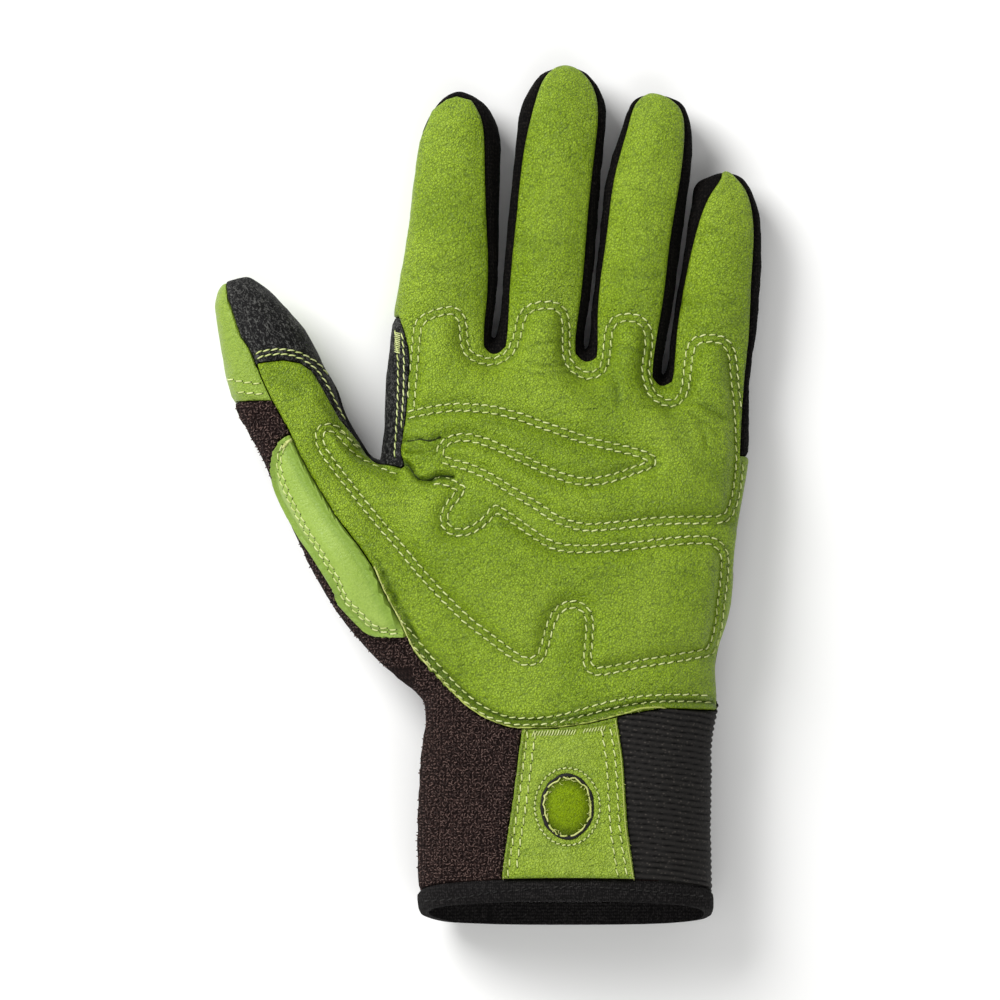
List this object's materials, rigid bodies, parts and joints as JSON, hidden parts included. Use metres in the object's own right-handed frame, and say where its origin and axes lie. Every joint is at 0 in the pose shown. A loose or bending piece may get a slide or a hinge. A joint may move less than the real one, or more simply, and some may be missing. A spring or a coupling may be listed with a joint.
{
  "type": "cut-resistant leather glove",
  "caption": "Left-hand work glove with a quilted green leather palm, black side strips, brown terry back and a cuff with a leather tab and ribbed elastic.",
  "frame": {"origin": "middle of the glove's box, on the surface that it lies on", "axes": "+X across the palm towards the little finger, +Y from the cuff to the fingertips, +Z out of the palm"},
  "size_m": [0.1586, 0.2502, 0.038],
  "materials": {
    "green_leather": "grained goatskin, soft semi-gloss",
    "inset_leather": "grained goatskin, saturated green",
    "light_leather": "smooth light green leather, soft semi-gloss",
    "black_stretch": "matt black stretch fabric",
    "brown_terry": "dark brown terry knit",
    "grip_fabric": "black grip fabric with fine light grains",
    "ribbed_elastic": "black elastic with fine ribs across the cuff",
    "binding": "black binding tape"
  },
  "bodies": {
    "root": {"palm_leather": "green_leather", "cuff_tab": "green_leather", "tab_inset": "inset_leather", "thumb_back_cap": "light_leather", "thumb_guard": "light_leather", "fourchette_index_middle": "black_stretch", "fourchette_middle_ring": "black_stretch", "fourchette_ring_little": "black_stretch", "little_side_wall": "black_stretch", "finger_backs": "black_stretch", "terry_back": "brown_terry", "thumb_tip_cover": "grip_fabric", "index_side_patch": "grip_fabric", "cuff_elastic": "ribbed_elastic", "cuff_binding": "binding"}
  },
  "joints": []
}
